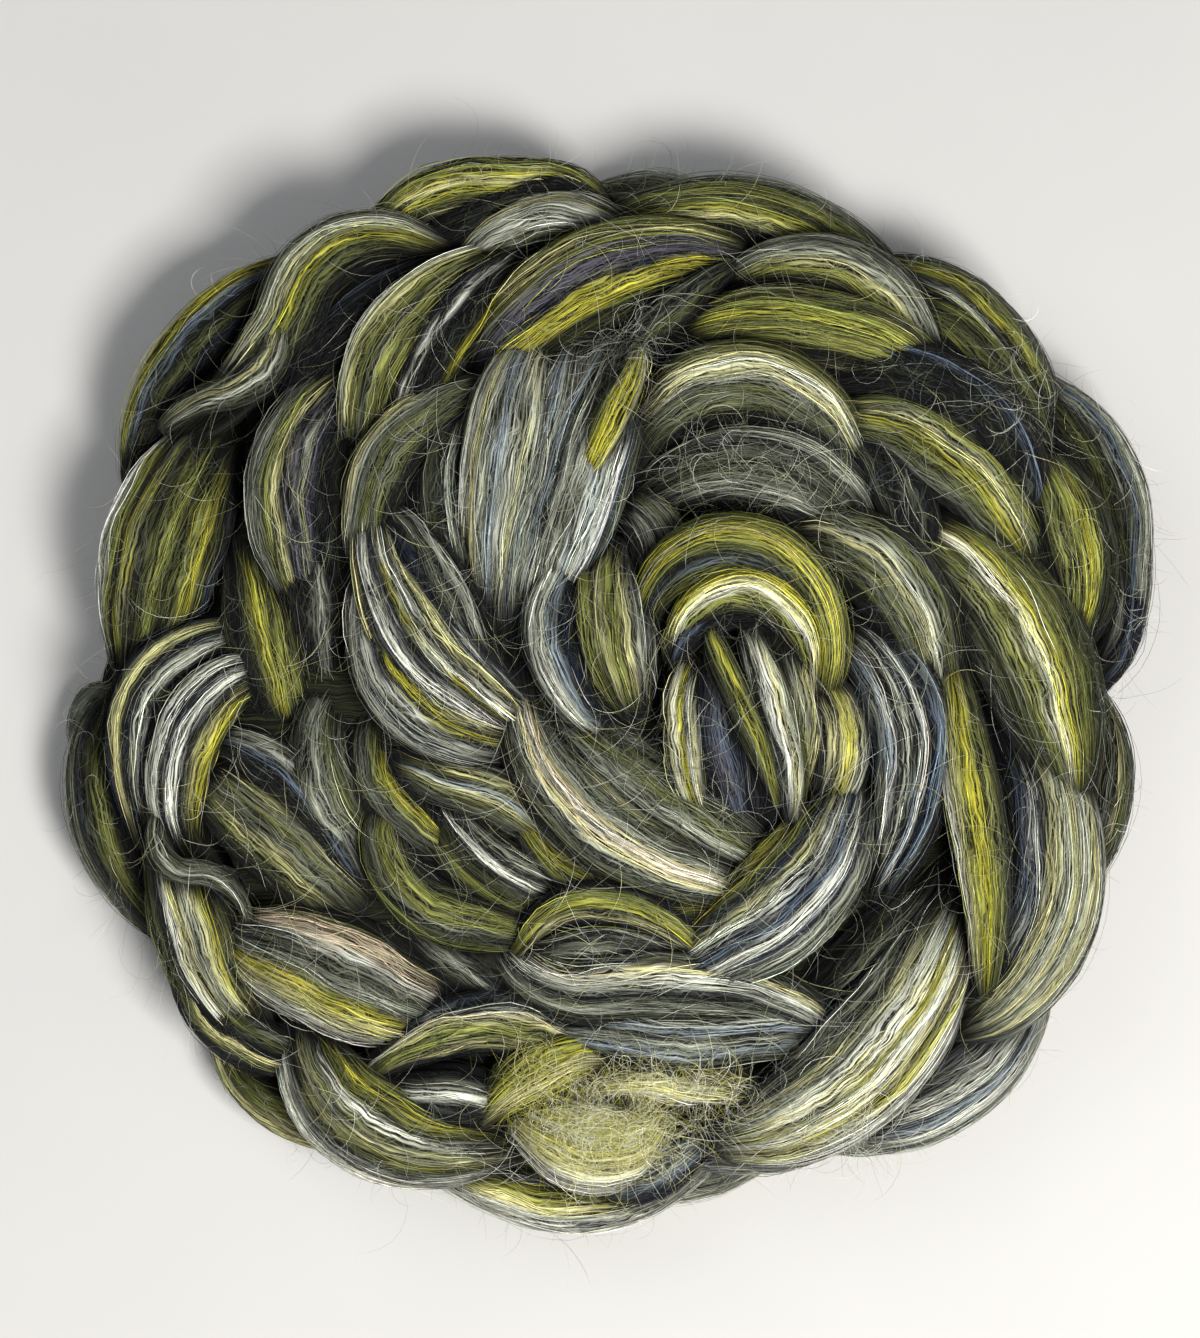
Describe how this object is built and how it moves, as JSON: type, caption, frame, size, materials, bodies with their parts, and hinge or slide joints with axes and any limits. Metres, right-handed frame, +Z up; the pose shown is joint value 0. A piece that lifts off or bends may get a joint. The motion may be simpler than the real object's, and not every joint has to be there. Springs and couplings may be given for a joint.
{
  "type": "braid of wool roving",
  "caption": "Braid of combed wool roving laid down as a round coil, its folds overlapping, with a fluffy loose end, resting flat on a table.",
  "frame": {"origin": "middle of the coil's extent, on the surface that it rests on", "axes": "+Z up, out of the coil; +Y away from the edge that carries the loose tuft, +X to its right"},
  "size_m": [0.2754, 0.2734, 0.058],
  "materials": {
    "wool": "matte, fine parallel fibres in blended olive, yellow-green, cream, grey and navy streaks"
  },
  "bodies": {
    "root": {"roving_braid": "wool"}
  },
  "joints": []
}
